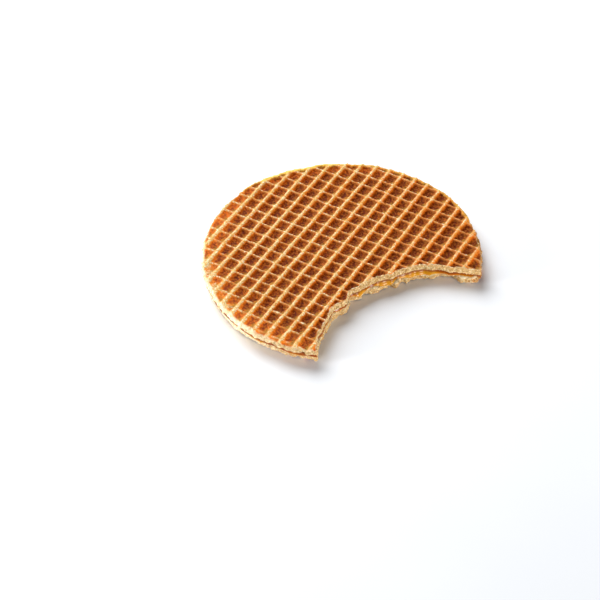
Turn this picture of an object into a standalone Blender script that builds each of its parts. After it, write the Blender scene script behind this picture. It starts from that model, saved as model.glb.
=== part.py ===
"""A stroopwafel with a bite out of its near right edge.

Two thin waffle discs hold a layer of caramel syrup. Units are metres and +Z is up.
The origin is the centre of the disc, on the plane that the lower wafer's ridges rest on.
"""

import math
import random

import bmesh
import bpy

MM = 0.001

# The whole biscuit
RADIUS = 40.0 * MM
LOWER_THICKNESS = 2.0 * MM
SYRUP_SPACE = 1.8 * MM
UPPER_THICKNESS = 2.1 * MM
TOUCHING_GAP = 0.3 * MM

# The waffle pattern: wide ridges are spaced along U, narrow ridges along V
PITCH = RADIUS / 9.34
GRID_TURN = math.radians(-30.67)
WIDE_RIDGE = 0.80 * MM
WIDE_RUN = 0.64 * MM
NARROW_RIDGE = 0.50 * MM
NARROW_RUN = 0.22 * MM
POCKET_DEPTH = 1.0 * MM
DEPTH_SPREAD = 0.08
UPPER_PHASE = (0.32, 0.87)
LOWER_PHASE = (0.0, 0.0)

# Pockets grow shallow towards the rim, and none starts closer to it than this
RIM_BAND = 1.8 * MM
RIM_FADE = 4.5 * MM
SHALLOWEST = 0.45

# The rim falls away from the flat face and is pinched
RIM_SHOULDER = 1.6 * MM
RIM_SHOULDER_DROP = 0.35 * MM
RIM_SHOULDER_INSET = 0.45 * MM
RIM_DROP = 0.9 * MM
RIM_TUCK = 0.2 * MM

# The bite is an arc of a circle whose centre lies outside the disc
BITE_DIRECTION = math.radians(-56.3)
BITE_DISTANCE = 48.35 * MM
BITE_RADIUS = 34.4 * MM
BITE_EDGE_ROUND = 0.25 * MM

# Tooth marks as (place along the bite from its left end, half width, depth), in shares and metres
TOOTH_MARKS = (
    (0.09, 0.040, 0.35 * MM),
    (0.26, 0.026, 0.50 * MM),
    (0.34, 0.030, -0.95 * MM),
    (0.40, 0.022, 0.60 * MM),
    (0.60, 0.035, -0.60 * MM),
    (0.74, 0.050, 0.75 * MM),
    (0.87, 0.030, -0.50 * MM),
    (0.93, 0.022, -0.55 * MM),
)

# The outline wavers by these heights, at these numbers of waves along the rim or the bite
RIM_WAVER = 0.75 * MM
RIM_WAVES = (2, 3, 5, 9, 14, 22)
BITE_WAVER = 0.45 * MM
BITE_WAVES = (7, 11, 17, 23)
CORNER_SHARE = 0.03
RIM_POINTS = 84
BITE_POINTS = 46

# The syrup is set back from the wafers' edge and bulges at half its height
SYRUP_RIM_INSET = 0.7 * MM
SYRUP_BITE_INSET = 0.3 * MM
SYRUP_BULGE = 0.4 * MM
SYRUP_RIM_WAVER = 0.6 * MM
SYRUP_RIM_WAVES = (3, 5, 8, 13)
SYRUP_BITE_WAVER = 0.5 * MM
SYRUP_BITE_WAVES = (4, 7, 12)
SYRUP_RIM_POINTS = 80
SYRUP_BITE_POINTS = 40

# The pocket cutter reaches this far past the patterned face
CUTTER_LIFT = 0.5 * MM
SHARP_ANGLE = math.radians(35.0)


class Waver:
    """A smooth uneven curve over 0 to 1: a seeded sum of sine waves."""

    def __init__(self, seed, height, cycles):
        draw = random.Random(seed)
        self.waves = []
        for count in cycles:
            share = draw.uniform(0.5, 1.0)
            self.waves.append((count, share, draw.uniform(0.0, math.tau)))
        total = sum(share for _, share, _ in self.waves)
        self.scale = height / total

    def __call__(self, place):
        height = 0.0
        for count, share, start in self.waves:
            height += share * math.sin(math.tau * count * place + start)
        return self.scale * height


def ends_held(place):
    """0 at the two corners where the rim meets the bite, and 1 a short way from them."""
    rise = min(place, 1.0 - place) / CORNER_SHARE
    return min(1.0, max(0.0, rise))


def tooth_marks(place):
    """How far the teeth cut past the bite's mean arc."""
    depth = 0.0
    for centre, half_width, cut in TOOTH_MARKS:
        depth += cut * math.exp(-(((place - centre) / half_width) ** 2))
    return depth


def bitten_outline(rim_radius, bite_radius, rim_waver, bite_waver, rim_points, bite_points):
    """The plan outline of a bitten disc, anticlockwise, as (x, y) pairs."""
    reach = rim_radius**2 + BITE_DISTANCE**2 - bite_radius**2
    rim_half = math.acos(reach / (2.0 * rim_radius * BITE_DISTANCE))
    back = bite_radius**2 + BITE_DISTANCE**2 - rim_radius**2
    bite_half = math.acos(back / (2.0 * bite_radius * BITE_DISTANCE))

    points = []
    sweep = math.tau - 2.0 * rim_half
    for step in range(rim_points):
        place = step / rim_points
        angle = BITE_DIRECTION + rim_half + sweep * place
        radius = rim_radius + rim_waver(place) * ends_held(place)
        points.append((radius * math.cos(angle), radius * math.sin(angle)))

    centre_x = BITE_DISTANCE * math.cos(BITE_DIRECTION)
    centre_y = BITE_DISTANCE * math.sin(BITE_DIRECTION)
    for step in range(bite_points):
        place = step / bite_points
        angle = BITE_DIRECTION + math.pi + bite_half * (1.0 - 2.0 * place)
        radius = bite_radius + (tooth_marks(place) + bite_waver(place)) * ends_held(place)
        points.append((centre_x + radius * math.cos(angle), centre_y + radius * math.sin(angle)))
    return points


def join_rings(build, low, high):
    """Side faces between two rings of vertices, facing out of an anticlockwise ring."""
    count = len(low)
    for index in range(count):
        after = (index + 1) % count
        build.faces.new((low[index], low[after], high[after], high[index]))


def placed(name, mesh, build):
    """The object of a finished mesh, in the scene."""
    build.to_mesh(mesh)
    build.free()
    thing = bpy.data.objects.new(name, mesh)
    bpy.context.scene.collection.objects.link(thing)
    return thing


def solid_from_loops(name, loops):
    """A closed solid from loops listed from the bottom up, each as (points, z)."""
    mesh = bpy.data.meshes.new(name)
    build = bmesh.new()
    rings = []
    for points, height in loops:
        rings.append([build.verts.new((x, y, height)) for x, y in points])
    build.faces.new(list(reversed(rings[0])))
    build.faces.new(rings[-1])
    for low, high in zip(rings, rings[1:]):
        join_rings(build, low, high)
    return placed(name, mesh, build)


def wafer_slab(name, patterned_z, plain_z, seed):
    """One wafer without its pockets: the patterned face has a falling rim, the plain one meets the syrup."""
    rim = Waver(seed, RIM_WAVER, RIM_WAVES)
    bite = Waver(seed + 1, BITE_WAVER, BITE_WAVES)
    half_round = BITE_EDGE_ROUND / 2.0
    inward = 1.0 if plain_z > patterned_z else -1.0
    steps = (
        (RIM_SHOULDER, BITE_EDGE_ROUND, patterned_z),
        (RIM_SHOULDER_INSET, half_round, patterned_z + inward * RIM_SHOULDER_DROP),
        (0.0, 0.0, patterned_z + inward * RIM_DROP),
        (RIM_TUCK, half_round, plain_z),
    )
    loops = []
    for rim_inset, bite_inset, height in steps:
        points = bitten_outline(
            RADIUS - rim_inset, BITE_RADIUS + bite_inset, rim, bite, RIM_POINTS, BITE_POINTS
        )
        loops.append((points, height))
    if inward < 0.0:
        loops.reverse()
    return solid_from_loops(name, loops)


def pocket_centres(phase):
    """The plan centres of the pockets that lie on the biscuit."""
    bite_x = BITE_DISTANCE * math.cos(BITE_DIRECTION)
    bite_y = BITE_DISTANCE * math.sin(BITE_DIRECTION)
    half_diagonal = PITCH / math.sqrt(2.0)
    span = math.ceil(RADIUS / PITCH) + 1
    centres = []
    for row in range(-span, span):
        for column in range(-span, span):
            along_u = (column + 0.5 - phase[0]) * PITCH
            along_v = (row + 0.5 - phase[1]) * PITCH
            x, y = from_grid(along_u, along_v)
            off_rim = math.hypot(x, y) > RADIUS - RIM_BAND
            bitten_off = math.hypot(x - bite_x, y - bite_y) < BITE_RADIUS - half_diagonal
            if not off_rim and not bitten_off:
                centres.append((along_u, along_v))
    return centres


def from_grid(along_u, along_v):
    """Plan x, y of a place given along the two directions of the pattern. V runs towards the near side."""
    x = along_u * math.cos(GRID_TURN) + along_v * math.sin(GRID_TURN)
    y = along_u * math.sin(GRID_TURN) - along_v * math.cos(GRID_TURN)
    return x, y


def pocket_depth(along_u, along_v, draw):
    """Full depth over most of the disc, less near the rim, with a little unevenness."""
    to_rim = RADIUS - math.hypot(along_u, along_v) - RIM_BAND
    share = SHALLOWEST + (1.0 - SHALLOWEST) * min(1.0, to_rim / RIM_FADE)
    return POCKET_DEPTH * share * (1.0 + draw.uniform(-DEPTH_SPREAD, DEPTH_SPREAD))


def pocket_cutter(name, patterned_z, inward, phase, seed):
    """All the pockets of one wafer as tapered blocks in one mesh, reaching past the patterned face."""
    draw = random.Random(seed)
    half_u = (PITCH - WIDE_RIDGE) / 2.0
    half_v = (PITCH - NARROW_RIDGE) / 2.0
    slope_u = WIDE_RUN / POCKET_DEPTH
    slope_v = NARROW_RUN / POCKET_DEPTH
    corners = ((-1, -1), (-1, 1), (1, 1), (1, -1))
    mesh = bpy.data.meshes.new(name)
    build = bmesh.new()
    for along_u, along_v in pocket_centres(phase):
        depth = pocket_depth(along_u, along_v, draw)
        rings = []
        for below in (depth, -CUTTER_LIFT):
            reach_u = half_u - slope_u * below
            reach_v = half_v - slope_v * below
            height = patterned_z + inward * below
            ring = []
            for side_u, side_v in corners:
                x, y = from_grid(along_u + side_u * reach_u, along_v + side_v * reach_v)
                ring.append(build.verts.new((x, y, height)))
            rings.append(ring)
        low, high = rings if inward < 0.0 else reversed(rings)
        build.faces.new(list(reversed(low)))
        build.faces.new(high)
        join_rings(build, low, high)
    cutter = placed(name, mesh, build)
    cutter.hide_render = True
    cutter.display_type = "WIRE"
    return cutter


def cut_with(thing, cutter):
    """Subtracts the cutter, and keeps the cut as a modifier."""
    cut = thing.modifiers.new("pockets", "BOOLEAN")
    cut.operation = "DIFFERENCE"
    cut.solver = "EXACT"
    cut.object = cutter


def give_material(thing, name, colour, roughness):
    """A plain surface with its own colour, linear RGB."""
    material = bpy.data.materials.new(name)
    material.use_nodes = True
    shader = material.node_tree.nodes["Principled BSDF"]
    shader.inputs["Base Color"].default_value = (*colour, 1.0)
    shader.inputs["Roughness"].default_value = roughness
    shader.inputs["Metallic"].default_value = 0.0
    material.diffuse_color = (*colour, 1.0)
    thing.data.materials.append(material)


def shade(thing):
    """Smooth over the rim's facets, sharp at the ridges."""
    thing.data.shade_smooth()
    thing.data.set_sharp_from_angle(angle=SHARP_ANGLE)


def make_lower_wafer():
    """The wafer underneath, with its pattern facing down."""
    wafer = wafer_slab("wafer_lower", 0.0, LOWER_THICKNESS, seed=21)
    cutter = pocket_cutter("pockets_lower", 0.0, 1.0, LOWER_PHASE, seed=23)
    shade(wafer)
    cut_with(wafer, cutter)
    give_material(wafer, "baked wafer lower", (0.58, 0.33, 0.12), 0.75)


def make_upper_wafer():
    """The wafer on top, with its pattern facing up."""
    top = LOWER_THICKNESS + SYRUP_SPACE + UPPER_THICKNESS
    wafer = wafer_slab("wafer_upper", top, top - UPPER_THICKNESS, seed=11)
    cutter = pocket_cutter("pockets_upper", top, -1.0, UPPER_PHASE, seed=13)
    shade(wafer)
    cut_with(wafer, cutter)
    give_material(wafer, "baked wafer upper", (0.62, 0.36, 0.13), 0.7)


def make_syrup():
    """The caramel between the wafers, set back from the rim, with a rounded edge."""
    low = LOWER_THICKNESS + TOUCHING_GAP
    high = LOWER_THICKNESS + SYRUP_SPACE - TOUCHING_GAP
    rim = Waver(31, SYRUP_RIM_WAVER, SYRUP_RIM_WAVES)
    bite = Waver(32, SYRUP_BITE_WAVER, SYRUP_BITE_WAVES)
    steps = ((SYRUP_BULGE, low), (0.0, (low + high) / 2.0), (SYRUP_BULGE, high))
    loops = []
    for set_back, height in steps:
        rim_radius = RADIUS - SYRUP_RIM_INSET - set_back
        bite_radius = BITE_RADIUS + SYRUP_BITE_INSET + set_back
        points = bitten_outline(rim_radius, bite_radius, rim, bite, SYRUP_RIM_POINTS, SYRUP_BITE_POINTS)
        loops.append((points, height))
    syrup = solid_from_loops("syrup", loops)
    shade(syrup)
    give_material(syrup, "caramel syrup", (0.48, 0.16, 0.03), 0.2)


def main():
    for thing in list(bpy.data.objects):
        bpy.data.objects.remove(thing)
    make_lower_wafer()
    make_upper_wafer()
    make_syrup()


main()
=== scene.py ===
"""A stroopwafel with a bite out of it: two waffle discs with caramel between them, on a pale floor.

Lengths are in millimetres until a mesh is made. The heights of the layers come from the wafer parts in
model.glb.
Places along an outline run from 0 to 1: along the rim anticlockwise from the bite's right corner, and
along the bite from its left corner to its right one.
"""

import itertools
import math
import random

import bpy
import numpy as np
from mathutils import Matrix, Vector
from mathutils.geometry import delaunay_2d_cdt


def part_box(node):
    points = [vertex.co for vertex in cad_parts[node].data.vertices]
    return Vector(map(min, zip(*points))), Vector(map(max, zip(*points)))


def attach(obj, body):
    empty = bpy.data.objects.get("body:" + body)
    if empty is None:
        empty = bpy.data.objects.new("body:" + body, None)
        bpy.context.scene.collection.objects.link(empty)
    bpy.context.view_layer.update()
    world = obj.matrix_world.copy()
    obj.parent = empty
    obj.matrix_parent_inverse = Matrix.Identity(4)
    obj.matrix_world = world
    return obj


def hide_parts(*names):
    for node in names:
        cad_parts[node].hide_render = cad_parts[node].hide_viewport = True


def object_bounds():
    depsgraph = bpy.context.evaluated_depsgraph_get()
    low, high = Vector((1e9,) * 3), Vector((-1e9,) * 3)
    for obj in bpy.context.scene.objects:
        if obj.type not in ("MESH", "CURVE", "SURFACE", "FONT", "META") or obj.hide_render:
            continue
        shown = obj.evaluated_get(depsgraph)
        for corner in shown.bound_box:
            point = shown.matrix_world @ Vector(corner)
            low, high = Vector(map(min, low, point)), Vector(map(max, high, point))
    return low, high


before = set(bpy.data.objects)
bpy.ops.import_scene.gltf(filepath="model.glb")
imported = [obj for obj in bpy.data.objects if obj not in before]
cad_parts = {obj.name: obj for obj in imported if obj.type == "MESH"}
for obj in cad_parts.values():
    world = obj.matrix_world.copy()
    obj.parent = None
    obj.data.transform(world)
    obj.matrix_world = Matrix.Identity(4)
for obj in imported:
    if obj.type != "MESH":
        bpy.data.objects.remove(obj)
cad_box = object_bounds()

MM = 0.001
LOWER_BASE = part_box("wafer_lower")[0].z / MM
LOWER_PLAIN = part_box("wafer_lower")[1].z / MM
UPPER_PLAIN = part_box("wafer_upper")[0].z / MM
UPPER_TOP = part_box("wafer_upper")[1].z / MM
FULL_GAP = UPPER_PLAIN - LOWER_PLAIN

# ---- plan of the biscuit -------------------------------------------------------------------------

RADIUS = 40.0
BITE_DIRECTION = math.radians(-56.3)
BITE_DISTANCE = 48.35
BITE_RADIUS = 34.4
BITE_CENTRE = (BITE_DISTANCE * math.cos(BITE_DIRECTION), BITE_DISTANCE * math.sin(BITE_DIRECTION))
RIM_POINTS = 740
BITE_POINTS = 300
CORNER_SHARE = 0.012

# Tooth marks as (place, half width, depth in mm)
TOOTH_MARKS = (
    (0.09, 0.040, 0.35),
    (0.26, 0.026, 0.50),
    (0.34, 0.030, -0.95),
    (0.40, 0.022, 0.60),
    (0.60, 0.035, -0.60),
    (0.74, 0.050, 0.75),
    (0.87, 0.030, -0.50),
    (0.93, 0.022, -0.55),
)

# Where the lower wafer is torn further back (plus) or sticks out (minus): (place, half width, mm)
LOWER_TEARS = (
    (0.405, 0.018, 1.15),
    (0.480, 0.020, 0.75),
    (0.530, 0.018, -0.55),
    (0.600, 0.012, 0.75),
    (0.628, 0.014, -0.75),
    (0.660, 0.010, 0.45),
    (0.680, 0.012, -0.55),
    (0.838, 0.026, 1.50),
    (0.861, 0.018, 0.55),
    (0.886, 0.024, 1.60),
    (0.925, 0.015, -0.35),
)

# Where the caramel is thick in the bite: (place, half width, how thick)
SYRUP_POOLS = (
    (0.18, 0.040, 0.20),
    (0.448, 0.026, 0.90),
    (0.572, 0.042, 1.25),
    (0.732, 0.068, 1.35),
    (0.960, 0.050, 0.30),
)

# Where the lower wafer's plain face sticks out of the bite as a pale lip: (place, half width, share)
LIPS = (
    (0.470, 0.030, 0.55),
    (0.610, 0.035, 0.65),
    (0.745, 0.040, 0.70),
    (0.955, 0.032, 1.00),
)

# Where the slit round the rim opens: (place, half width, more of the full gap)
RIM_SLITS = (
    (0.000, 0.020, 0.40),
    (0.880, 0.100, 0.26),
    (0.903, 0.018, 0.36),
    (0.968, 0.014, 0.30),
)

# Sides of the disc as (middle, half width, run at both ends), in degrees anticlockwise from the right
LEFT_SIDE = (202.0, 38.0, 30.0)
PALER_PATCH_SIDE = (201.0, 14.0, 9.0)
ISLAND_SIDE = (235.0, 25.0, 20.0)
BACK_SIDE = (78.0, 50.0, 14.0)
GOLDEN_SIDE = (107.0, 14.0, 10.0)
BACK_LEFT_SIDE = (110.0, 35.0, 25.0)
# The near-left side is pale cream: partly its own pale colour, partly painted light
CREAM_AND_PAINTED_LIGHT_SIDE = (203.0, 22.0, 22.0)
FRONT_SIDE = (222.0, 50.0, 25.0)
FLAKY_SIDE = (245.0, 32.0, 14.0)
EVEN_SIDE = (190.0, 25.0, 20.0)
ROUGH_SIDE = (250.0, 22.0, 15.0)
TOASTED_SIDE = (40.0, 75.0, 30.0)

# ---- the waffle pattern --------------------------------------------------------------------------

PITCH = RADIUS / 9.34
GRID_TURN = math.radians(-30.67)
UPPER_PHASE = (0.31, 0.93)
LOWER_PHASE = (0.0, 0.0)
CELLS_FINE = 18
CELLS_COARSE = 4
FINE_MARGIN = 0.13
COARSE_MARGIN = 0.6
CARAMEL_MARGIN = 0.9
POCKET_DEPTH = 1.0
WIDE_HALF = 0.06
WIDE_RUN_FRONT = 1.40
WIDE_RUN_BACK = 0.84
NARROW_HALF = 0.05
NARROW_RUN = 0.62
NARROW_HEIGHT = 0.93
RIDGE_LIMIT = 1.06

# Seeds, and the crumbs on each wafer
UPPER_SEED = 11
LOWER_SEED = 21
CRUMB_SEED = 5
CRUMBS_ON_BITE = 420
CRUMBS_ON_RIM = 380


def smooth(x):
    """0 below 0, 1 above 1, with an S between."""
    x = np.clip(x, 0.0, 1.0)
    return x * x * (3.0 - 2.0 * x)


class Noise:
    """Smooth seeded noise over a plane, about -1 to 1, with features of the given size."""

    def __init__(self, seed, side=256):
        self.table = np.random.default_rng(seed).uniform(-1.0, 1.0, (side, side))
        self.side = side

    def __call__(self, x, y, size):
        gx = np.asarray(x) / size
        gy = np.asarray(y) / size
        ix = np.floor(gx).astype(int)
        iy = np.floor(gy).astype(int)
        fx = smooth(gx - ix)
        fy = smooth(gy - iy)
        a = self.table[ix % self.side, iy % self.side]
        b = self.table[(ix + 1) % self.side, iy % self.side]
        c = self.table[ix % self.side, (iy + 1) % self.side]
        d = self.table[(ix + 1) % self.side, (iy + 1) % self.side]
        low = a + (b - a) * fx
        high = c + (d - c) * fx
        return low + (high - low) * fy

    def each(self, i, j):
        """One value for each pair of whole numbers."""
        return self.table[np.asarray(i) % self.side, np.asarray(j) % self.side]

    def pits(self, x, y, size, share):
        """0 to 1: round dents, one in some of the squares of the given size."""
        gx = np.asarray(x) / size
        gy = np.asarray(y) / size
        ix = np.floor(gx).astype(int)
        iy = np.floor(gy).astype(int)
        deepest = np.zeros(np.shape(gx))
        for di in (-1, 0, 1):
            for dj in (-1, 0, 1):
                ci = ix + di
                cj = iy + dj
                px = ci + 0.5 + 0.4 * self.each(ci, cj + 91)
                py = cj + 0.5 + 0.4 * self.each(ci + 57, cj)
                radius = 0.38 + 0.16 * self.each(ci + 13, cj + 29)
                there = self.each(ci + 31, cj + 7) < 2.0 * share - 1.0
                away = np.hypot(gx - px, gy - py) / radius
                deepest = np.maximum(deepest, np.where(there, np.clip(1.0 - away**2, 0.0, 1.0), 0.0))
        return deepest


class Waver:
    """A smooth uneven curve over 0 to 1: a seeded sum of sine waves."""

    def __init__(self, seed, height, cycles):
        draw = random.Random(seed)
        self.waves = []
        for count in cycles:
            share = draw.uniform(0.5, 1.0)
            self.waves.append((count, share, draw.uniform(0.0, math.tau)))
        self.scale = height / sum(share for _, share, _ in self.waves)

    def __call__(self, place):
        height = 0.0
        for count, share, start in self.waves:
            height = height + share * np.sin(math.tau * count * place + start)
        return self.scale * height


def bumps(place, marks):
    """The sum of bell curves, each (place, half width, height)."""
    total = np.zeros(np.shape(place))
    for centre, half_width, height in marks:
        total = total + height * np.exp(-(((place - centre) / half_width) ** 2))
    return total


def from_grid(u, v):
    """Plan x, y from places along the two directions of the pattern."""
    x = u * math.cos(GRID_TURN) + v * math.sin(GRID_TURN)
    y = u * math.sin(GRID_TURN) - v * math.cos(GRID_TURN)
    return x, y


def to_grid(x, y):
    """Places along the pattern's two directions from plan x, y."""
    u = x * math.cos(GRID_TURN) + y * math.sin(GRID_TURN)
    v = x * math.sin(GRID_TURN) - y * math.cos(GRID_TURN)
    return u, v


RIM_PLACES = np.arange(RIM_POINTS) / RIM_POINTS
BITE_PLACES = np.arange(BITE_POINTS) / BITE_POINTS


def held(place):
    """0 at the two corners where the rim meets the bite, 1 a short way from them."""
    return np.clip(np.minimum(place, 1.0 - place) / CORNER_SHARE, 0.0, 1.0)


def half_angles(rim_radius, bite_radius):
    """Half of the angle that the bite takes, seen from the disc's centre and from the bite's."""
    reach = rim_radius**2 + BITE_DISTANCE**2 - bite_radius**2
    rim_half = math.acos(reach / (2.0 * rim_radius * BITE_DISTANCE))
    back = bite_radius**2 + BITE_DISTANCE**2 - rim_radius**2
    bite_half = math.acos(back / (2.0 * bite_radius * BITE_DISTANCE))
    return rim_half, bite_half


class Outline:
    """One closed plan outline, anticlockwise: the rim first, then the bite."""

    def __init__(self, rim_inset, bite_inset, rim_offset, bite_offset):
        rim_base = RADIUS - rim_inset
        self.rim_base = rim_base
        bite_base = BITE_RADIUS + bite_inset
        self.rim_half, self.bite_half = half_angles(rim_base, bite_base)
        self.rim = rim_base + rim_offset * held(RIM_PLACES)
        self.bite = bite_base + bite_offset * held(BITE_PLACES)
        sweep = math.tau - 2.0 * self.rim_half
        rim_angle = BITE_DIRECTION + self.rim_half + sweep * RIM_PLACES
        bite_angle = BITE_DIRECTION + math.pi + self.bite_half * (1.0 - 2.0 * BITE_PLACES)
        rim_x = self.rim * np.cos(rim_angle)
        rim_y = self.rim * np.sin(rim_angle)
        bite_x = BITE_CENTRE[0] + self.bite * np.cos(bite_angle)
        bite_y = BITE_CENTRE[1] + self.bite * np.sin(bite_angle)
        self.points = np.stack([np.r_[rim_x, bite_x], np.r_[rim_y, bite_y]], axis=1)

    def depth_inside(self, x, y):
        """How far points lie inside the rim and clear of the bite, in mm, measured along the radii."""
        sweep = math.tau - 2.0 * self.rim_half
        angle = (np.arctan2(y, x) - BITE_DIRECTION - self.rim_half) % math.tau
        rim_place = angle / sweep
        rim_limit = np.interp(rim_place, RIM_PLACES, self.rim, right=self.rim_base)
        from_rim = rim_limit - np.hypot(x, y)
        bx = x - BITE_CENTRE[0]
        by = y - BITE_CENTRE[1]
        turn = (np.arctan2(by, bx) - BITE_DIRECTION) % math.tau - math.pi
        bite_place = 0.5 - turn / (2.0 * self.bite_half)
        bite_limit = np.interp(bite_place, BITE_PLACES, self.bite)
        from_bite = np.hypot(bx, by) - bite_limit
        return from_rim, from_bite


def in_polygon(points, outline):
    """Which points lie inside a closed outline, by the even-odd rule."""
    x, y = points[:, 0:1], points[:, 1:2]
    ax, ay = outline[:, 0], outline[:, 1]
    bx, by = np.roll(ax, -1), np.roll(ay, -1)
    spans = (ay > y) != (by > y)
    rise = np.where(by == ay, 1.0, by - ay)
    crossing = ax + (y - ay) * (bx - ax) / rise
    return (spans & (x < crossing)).sum(axis=1) % 2 == 1


def clipped_grid(outline, cells, phase, margin):
    """A plan mesh inside an outline: squares in line with the ridges, and triangles round them.

    Squares lie at least the margin inside the outline. Returns the plan points, the outline's first, and
    the squares and the triangles, all anticlockwise.
    """
    step = PITCH / cells
    reach = int(math.ceil(RADIUS / step)) + cells
    ticks = np.arange(-reach, reach + 1)
    ticks_u = (ticks / cells - phase[0]) * PITCH
    ticks_v = (ticks / cells - phase[1]) * PITCH
    gu, gv = np.meshgrid(ticks_u, ticks_v, indexing="ij")
    gx, gy = from_grid(gu, gv)
    from_rim, from_bite = outline.depth_inside(gx, gy)
    inside = (from_rim > margin) & (from_bite > margin)
    full = inside[:-1, :-1] & inside[1:, :-1] & inside[1:, 1:] & inside[:-1, 1:]

    used = np.zeros(inside.shape, bool)
    for di in (0, 1):
        for dj in (0, 1):
            used[di : di + full.shape[0], dj : dj + full.shape[1]] |= full
    count = len(outline.points)
    index = np.full(inside.shape, -1)
    index[used] = np.arange(used.sum()) + count
    ci, cj = np.nonzero(full)
    corners = [index[ci, cj], index[ci, cj + 1], index[ci + 1, cj + 1], index[ci + 1, cj]]
    squares = np.stack(corners, axis=1)

    padded = np.pad(full, 1)
    i, j = np.nonzero(padded[1:, 1:-1] != padded[:-1, 1:-1])
    edges_v = np.stack([index[i, j], index[i, j + 1]], axis=1)
    i, j = np.nonzero(padded[1:-1, 1:] != padded[1:-1, :-1])
    edges_u = np.stack([index[i, j], index[i + 1, j]], axis=1)
    edges = np.concatenate([edges_v, edges_u])

    points = np.concatenate([outline.points, np.stack([gx[used], gy[used]], axis=1)])
    ring = np.unique(edges)
    local = {int(k): n + count for n, k in enumerate(ring)}
    flat = np.concatenate([outline.points, points[ring]])
    strip_points = [Vector(p) for p in flat]
    strip_edges = [(n, (n + 1) % count) for n in range(count)]
    strip_edges += [(local[int(a)], local[int(b)]) for a, b in edges]
    made = delaunay_2d_cdt(strip_points, strip_edges, [], 0, 1e-6)
    if len(made[0]) != len(strip_points):
        raise ValueError("the outline crosses itself")
    origin = np.array([source[0] for source in made[3]])
    triangles = origin[np.array([list(f) for f in made[2]])]
    middle = flat[triangles].mean(axis=1)
    mu, mv = to_grid(middle[:, 0], middle[:, 1])
    mi = np.floor((mu / PITCH + phase[0]) * cells).astype(int) + reach
    mj = np.floor((mv / PITCH + phase[1]) * cells).astype(int) + reach
    on_square = full[np.clip(mi, 0, full.shape[0] - 1), np.clip(mj, 0, full.shape[1] - 1)]
    triangles = triangles[in_polygon(middle, outline.points) & ~on_square]
    back = np.concatenate([np.arange(count), ring])
    triangles = back[triangles]
    corner = points[triangles]
    ab = corner[:, 1] - corner[:, 0]
    ac = corner[:, 2] - corner[:, 0]
    area = ab[:, 0] * ac[:, 1] - ab[:, 1] * ac[:, 0]
    triangles = np.where((area < 0)[:, None], triangles[:, ::-1], triangles)
    return points, squares, triangles


def make_mesh(name, points, faces, attributes):
    """A smooth-shaded object from points in mm and faces, with a number per point for each attribute."""
    mesh = bpy.data.meshes.new(name)
    mesh.from_pydata((points * MM).tolist(), [], faces)
    for label, values in attributes.items():
        layer = mesh.attributes.new(label, "FLOAT", "POINT")
        layer.data.foreach_set("value", np.asarray(values, np.float32))
    mesh.shade_smooth()
    mesh.validate()
    thing = bpy.data.objects.new(name, mesh)
    bpy.context.scene.collection.objects.link(thing)
    return thing


# ---- the patterned face --------------------------------------------------------------------------

# Unevenness as (strength, feature size in mm). GRID_WANDER is in pitches and the others in mm or shares.
# Numbers added to a place, such as x + 300, take the noise from another part of its table.
GRID_WANDER = (0.020, 5.0)
CREST_WANDER = (0.09, 1.3)
CREST_FINE_WANDER = (0.06, 0.6)
CREST_WIDTH = (0.45, 0.9)
CREST_HEIGHT = (0.05, 1.1)
RIB_WANDER = (0.08, 0.9)
RIB_HEIGHT = (0.12, 0.6)
RIB_FINE_HEIGHT = (0.06, 0.3)
FLOOR_GRAIN = (0.080, 0.55)
FLOOR_FINE_GRAIN = (0.060, 0.3)
FACE_GRAIN = (0.032, 0.35)
LIP_WIDTH = (0.22, 1.4)
LIP_HEIGHT = (0.14, 1.0)
PALER_PATCHES = (0.45, 2.2)
BREAKS = (0.9, 1.6)

# RIB_BOW, the pits' size and depth, the back lip's width, and each reach and run are in mm. A reach is how
# far in from the rim something goes. The others are shares.
RIB_BOW = 0.16
RIB_SAG_LEAST = 0.03
RIB_SAG_MORE = 0.14
RIB_WIDTH_UNEVEN = 0.6
RIB_BREAK = 0.55
RIB_BREAK_REACH = 13.0
ISLAND_REACH = 17.0
ISLAND_RUN = 6.0
ISLAND_RISE = 0.10
BACK_LIP_WIDTH = 0.80
BACK_LIP_MORE = 0.35
BACK_LIP_RUN = 0.35
BACK_LIP_HEIGHT = 0.60
LEFT_SHALLOW = 0.62
LEFT_SHALLOW_REACH = 11.0
RIM_SHALLOW = 0.20
RIM_SHALLOW_REACH = 1.5
POCKET_UNEVEN = 0.08
PIT_SIZE = 0.85
PIT_SHARE = 0.55
PIT_DEPTH = 0.16
LEFT_PALE = 0.30
LEFT_PALE_REACH = 8.0
RIM_PALE = 0.16
BACK_PALE = 0.25
BACK_PALE_REACH = 5.0
PALER_PATCH_REACH = 4.2
PALER_PATCH_RUN = 2.2
# How much darker the face gets towards the right
DARKER_TO_RIGHT = 0.13


def sector(x, y, middle, half_width, run):
    """1 where the direction from the centre is near the middle one, in degrees, and 0 away from it."""
    away = np.abs((np.degrees(np.arctan2(y, x)) - middle + 180.0) % 360.0 - 180.0)
    return smooth((half_width + run - away) / run)


def uneven(noise, x, y, feature):
    """Noise of a feature's strength and size."""
    strength, size = feature
    return strength * noise(x, y, size)


def wide_ridges(cu, v, noise):
    """The height of the wide ridges, 0 to about 1: a thin crest with a longer slope in front."""
    ku = np.round(cu).astype(int)
    side = (cu - ku) * PITCH + uneven(noise, ku * 37.0 + 500.0, v, CREST_WANDER)
    side = side + uneven(noise, ku * 37.0, v + 60.0, CREST_FINE_WANDER)
    half = WIDE_HALF * (1.0 + uneven(noise, ku * 53.0, v + 90.0, CREST_WIDTH))
    run = np.where(side > 0.0, WIDE_RUN_FRONT, WIDE_RUN_BACK)
    rise = 1.0 - smooth((np.abs(side) - half) / run)
    return rise * (1.0 + uneven(noise, ku * 71.0, v + 40.0, CREST_HEIGHT))


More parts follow.
